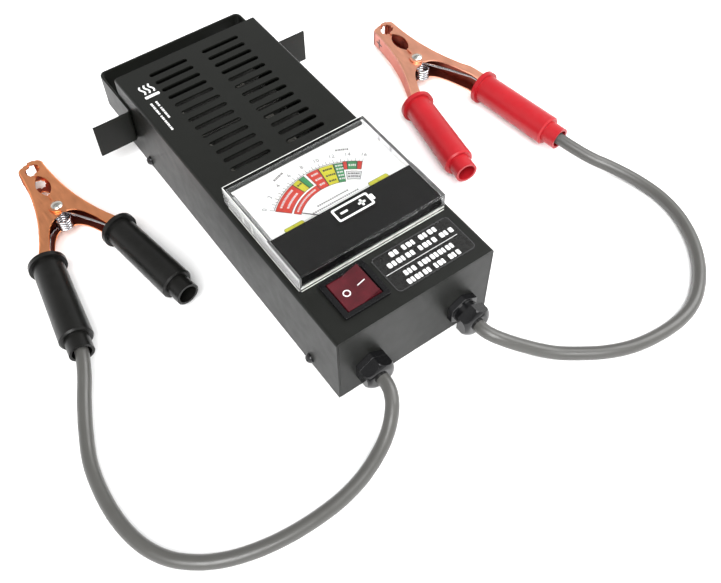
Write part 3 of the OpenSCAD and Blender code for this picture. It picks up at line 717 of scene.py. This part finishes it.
def print_emblem():
    """A battery with its two signs, on the window over the mask."""
    on_window = flat_at(WINDOW_HIGH.z + 0.02)
    white = bmesh.new()
    add_ring(white, rounded(-10.0, -68.6, 14.6, -58.6, 1.3), rounded(-8.7, -67.3, 13.3, -59.9, 0.7),
             on_window)
    add_prism(white, rounded(14.6, -65.8, 16.7, -61.4, 0.6), on_window)
    for bar in ((-6.2, -64.3, -1.4, -62.9), (6.0, -64.3, 10.8, -62.9), (7.7, -66.0, 9.1, -61.2)):
        add_prism(white, rect(*bar), on_window)
    mesh_piece("mask_emblem", white, ink_white)


print_label()
print_cover()
print_emblem()


# ------------------------------------------------------------------ marks on the rocker

ROCKER_LEAN = math.radians(11)
ROCKER_FACE = 3.2


def on_rocker(side):
    """Places a mark on the rocker's left (-1) or right (+1) face as it stands at rest."""
    lean = Matrix.Rotation(-ROCKER_LEAN, 4, "Y")
    face = Matrix.Rotation(-side * ROCKER_LEAN, 4, "Y")
    middle = Vector((0, 0, ROCKER_FACE))

    def place(x, y, h):
        return JOINT_AT["rocker_press"] + lean @ (middle + face @ Vector((x, y, h + 0.03)))

    return place


def print_rocker():
    white = bmesh.new()
    add_ring(white, circle(-4.5, -0.3, 2.3), circle(-4.5, -0.3, 1.6), on_rocker(-1))
    add_prism(white, rect(3.0, -0.3, 8.2, 0.3), on_rocker(1))
    mesh_piece("rocker_marks", white, ink_white, "rocker")


print_rocker()


# ------------------------------------------------------------------ painted highlights on the window

def window_lines():
    """Painted highlights on the bright edges of the clear window: pale strips round its base, along
    its rim and at its clips.
    """
    highlight_strips = bmesh.new()
    x_end, near, far, top = WINDOW_HIGH.x, WINDOW_LOW.y, WINDOW_HIGH.y, WINDOW_HIGH.z
    base = WINDOW_LOW.z

    def on_near(x, z, h):
        return Vector((x, near - 0.05 - h, z))

    def on_side(side):
        return lambda y, z, h: Vector((side * (x_end + 0.05 + h), y, z))

    add_prism(highlight_strips, rect(0.8 - x_end, base + 2.0, x_end - 0.8, base + 3.5), on_near, 0.1)
    add_prism(highlight_strips, rect(0.8 - x_end, base + 0.1, x_end - 0.8, base + 0.6), on_near, 0.3)
    for side, clips in ((-1, (-29.5, -39.5)), (1, (-25.0, -36.5))):
        strip = rect(near + 0.8, base + 0.1, far - 6.0, base + 0.9)
        add_prism(highlight_strips, strip, on_side(side), 0.15)
        for y in clips:
            add_prism(highlight_strips, rect(y - 0.9, base + 3.0, y + 0.9, top - 1.7), on_side(side), 0.1)
    mask_far = box_of("meter_mask")[1].y
    for rim in ((-x_end, mask_far, 0.6 - x_end, far), (x_end - 0.6, mask_far, x_end, far),
                (-x_end, far - 0.5, x_end, far)):
        add_prism(highlight_strips, rect(*rim), flat_at(top + 0.01), 0.02)
    mesh_piece("window_painted_highlights", highlight_strips, window_highlight_paint)


window_lines()


# ------------------------------------------------------------------ jaws

BEND_R = 1.5
TIP_R = 4.4


def bezier(a, b, c, d, steps):
    out = []
    for i in range(steps + 1):
        t = i / steps
        k = 1 - t
        out.append(tuple(k ** 3 * p + 3 * k * k * t * q + 3 * k * t * t * r + t ** 3 * s
                         for p, q, r, s in zip(a, b, c, d)))
    return out


def jaw_edge():
    """The outer edge of the right jaw as drawn, from the tip to the grip."""
    turns = [math.radians(a) for a in range(100, 9, -15)]
    tip = [(4.3 + TIP_R * math.cos(a), 41.2 + TIP_R * math.sin(a)) for a in turns]
    return tip + bezier((8.6, 39), (9.6, 17), (13, -2), (25.8, -28.5), 12)


JAW_EDGE = jaw_edge()


def near_edge(x, y):
    """Whether a point lies on the bent outer edge of a jaw."""
    for (x0, y0), (x1, y1) in zip(JAW_EDGE, JAW_EDGE[1:]):
        dx, dy = x1 - x0, y1 - y0
        t = max(0.0, min(1.0, ((x - x0) * dx + (y - y0) * dy) / (dx * dx + dy * dy)))
        if math.hypot(x - x0 - t * dx, y - y0 - t * dy) < 0.12:
            return True
    return False


def bend_edges(name, clamp, side, shaded_web_look=None):
    """Gives a jaw the round bend between its plates and its web, and eases its other edges.
    side is +1 for the jaw whose web is on the right as drawn."""
    o = NODES[name]
    mesh = o.data
    low, high = box_of(name)
    half_high = (high.z - low.z) / 2
    bent = []
    for v in mesh.vertices:
        p = clamp.drawn(v.co / MM)
        bent.append(abs(abs(p.z) - half_high) < 0.05 and near_edge(side * p.x, p.y))
    weight = mesh.attributes.new("bevel_weight_edge", "FLOAT", "EDGE")
    for e in mesh.edges:
        weight.data[e.index].value = 1.0 if bent[e.vertices[0]] and bent[e.vertices[1]] else 0.0
    # Painted shade on the faces that look into the jaw.
    mesh.materials.append(copper_inner_painted_shade)
    # On the inner jaws the web takes a darker copy of the copper, painted shade.
    mesh.materials.append(shaded_web_look or mesh.materials[0])
    for face in mesh.polygons:
        face.material_index = jaw_slot(face, clamp, side, half_high)
    join_faces(o)
    bend = o.modifiers.new("bend", "BEVEL")
    bend.width = BEND_R * MM
    bend.segments = 4
    bend.limit_method = "WEIGHT"
    bend.use_clamp_overlap = False
    round_edges(o, "ease", 0.15, 1, 50)
    finish_edges(o)


def jaw_slot(face, clamp, side, half_high):
    """The material slot of a jaw's face: 0 outside, 1 on its inner faces, in painted shade, 2 on its
    web, in painted shade on the inner jaws.
    """
    at = clamp.drawn(face.center / MM)
    normal = clamp.turned.inverted() @ face.normal
    inner_plate = abs(normal.z) > 0.9 and (normal.z < 0) == (at.z > 0)
    web = abs(normal.z) < 0.3 and abs(at.z) < half_high - BEND_R and side * at.x > 3
    if inner_plate or (web and side * normal.x < -0.3):
        return 1
    return 2 if web else 0


bend_edges("black_outer_jaw", BLACK, 1)
bend_edges("black_inner_jaw", BLACK, -1, copper_web_painted_shade)
bend_edges("red_outer_jaw", RED, 1)
bend_edges("red_inner_jaw", RED, -1, pink_web_painted_shade)


# ------------------------------------------------------------------ springs

COIL_AT = (-1.0, -7.8)
COIL_R, COIL_HALF, COIL_START, COIL_SWEEP, COIL_STEPS = 4.6, 4.5, 135, 1545.0, 154
WIRE_R, WIRE_SIDES, LEG_STEP = 0.85, 12, 2.0
LEAD_LEG = [(-25, -48), (-22.3, -34), (-18.1, -20.6), (-13, -9.8), (-9.4, -7)]
FREE_LEG = [(14, -21.8), (22.3, -36), (25, -48)]


def refined(points):
    """The points, with more between them wherever they are far apart."""
    out = [Vector(points[0])]
    for a, b in zip(points, points[1:]):
        a, b = Vector(a), Vector(b)
        n = max(1, round((b - a).length / LEG_STEP))
        out += [a.lerp(b, k / n) for k in range(1, n + 1)]
    return out


def spring_path():
    """The wire's middle line as drawn: one leg, the coil and the other leg."""
    coil = []
    for i in range(COIL_STEPS + 1):
        part = i / COIL_STEPS
        a = math.radians(COIL_START - COIL_SWEEP * part)
        coil.append(Vector((COIL_AT[0] + COIL_R * math.cos(a), COIL_AT[1] + COIL_R * math.sin(a),
                            COIL_HALF * (2 * part - 1))))
    first = refined([(x, y, -COIL_HALF) for x, y in LEAD_LEG])
    last = refined([coil[-1]] + [(x, y, COIL_HALF) for x, y in FREE_LEG])[1:]
    return first + coil + last


def wire_ring(bm, clamp, path, i):
    """The wire's corners round one point of its path."""
    along = (path[min(i + 1, len(path) - 1)] - path[max(i - 1, 0)]).normalized()
    across = along.cross(Vector((0, 0, 1))).normalized()
    up = across.cross(along)
    ring = []
    for k in range(WIRE_SIDES):
        a = 2 * math.pi * k / WIRE_SIDES
        corner = path[i] + WIRE_R * (math.cos(a) * across + math.sin(a) * up)
        ring.append(bm.verts.new(clamp.place(*corner) * MM))
    return ring


def spring(name, clamp, node, start, end):
    """A torsion spring about the clamp's rivet, with a leg in each handle."""
    path = spring_path()
    bm = bmesh.new()
    rings = [wire_ring(bm, clamp, path, i) for i in range(len(path))]
    for a, b in zip(rings, rings[1:]):
        for k in range(WIRE_SIDES):
            j = (k + 1) % WIRE_SIDES
            bm.faces.new([a[k], a[j], b[j], b[k]])
    bm.faces.new(list(reversed(rings[0])))
    bm.faces.new(rings[-1])
    o = finished_mesh(name, bm, chrome)
    o.data.shade_smooth()
    clamp.place(*start) * MM
    clamp.place(*end) * MM
    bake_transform(o)
    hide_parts(node)
    return o


spring_black = spring("spring_black", BLACK, "black_spring", (4, -12), (14, -14))
spring_red = spring("spring_red", RED, "red_spring", (-6, -12), (-14, -14))


# ------------------------------------------------------------------ sign stamped on the red clamp

def on_web(y, z, h):
    """Places a mark on the outside of the red clamp's left web."""
    for (x0, y0), (x1, y1) in zip(JAW_EDGE, JAW_EDGE[1:]):
        if y1 <= y <= y0:
            x = x0 + (x1 - x0) * (y0 - y) / (y0 - y1)
            return RED.place(-x - 0.04 - h, y, z)
    raise ValueError("the web doesn't reach that far")


def stamp_plus():
    stamp = bmesh.new()
    # The long bar is in two parts, because the web bends between them.
    for bar in ((31.6, -0.6, 35.2, 0.6), (35.2, -0.6, 38.8, 0.6), (34.6, -4.0, 35.8, 4.0)):
        add_prism(stamp, rect(*bar), on_web, 0.05)
    return mesh_piece("plus_stamp", stamp, ink_black, "red_free_jaw")


plus_stamp = stamp_plus()


# ------------------------------------------------------------------ floor and light

FLOOR_HALF = 3000


def make_floor():
    bm = bmesh.new()
    corners = rect(-FLOOR_HALF, -FLOOR_HALF, FLOOR_HALF, FLOOR_HALF)
    bm.faces.new([bm.verts.new((x * MM, y * MM, 0)) for x, y in corners])
    finished_mesh("floor", bm, floor_white)


def key_light(towards, width, power):
    """A wide soft light from that direction, equally bright over the whole floor.
    width is in degrees."""
    data = bpy.data.lights.new("key", "SUN")
    data.energy = power
    data.angle = math.radians(width)
    o = link(bpy.data.objects.new("key", data))
    o.rotation_euler = Vector(towards).to_track_quat("Z", "Y").to_euler()


def fill_light(at, size, power):
    """A round lamp that faces the middle of the frame. Its place and size are in metres."""
    data = bpy.data.lights.new("fill", "AREA")
    data.shape = "DISK"
    data.size = size
    data.energy = power
    o = link(bpy.data.objects.new("fill", data))
    o.location = at
    o.rotation_euler = (-Vector(at)).to_track_quat("-Z", "Y").to_euler()


def make_world(brightness):
    """Bright round the horizon and dim overhead, as in a light tent under a dark ceiling."""
    world = bpy.data.worlds.new("studio")
    SCENE.world = world
    world.use_nodes = True
    tree = world.node_tree
    back = tree.nodes["Background"]
    place = tree.nodes.new("ShaderNodeTexCoord")
    axes = tree.nodes.new("ShaderNodeSeparateXYZ")
    tree.links.new(place.outputs["Generated"], axes.inputs["Vector"])
    greys = ((0.0, 1.0), (0.35, 0.95), (0.68, 0.34), (1.0, 0.30))
    tree.links.new(ramp(tree, axes.outputs["Z"], [(at, (g, g, g)) for at, g in greys]),
                   back.inputs["Color"])
    back.inputs["Strength"].default_value = brightness


make_floor()
make_world(1.1)
key_light((-0.55, -0.73, 1.15), 42, 4.6)
fill_light((0.9, -0.3, 1.1), 1.2, 21)
SCENE.view_settings.view_transform = "Standard"
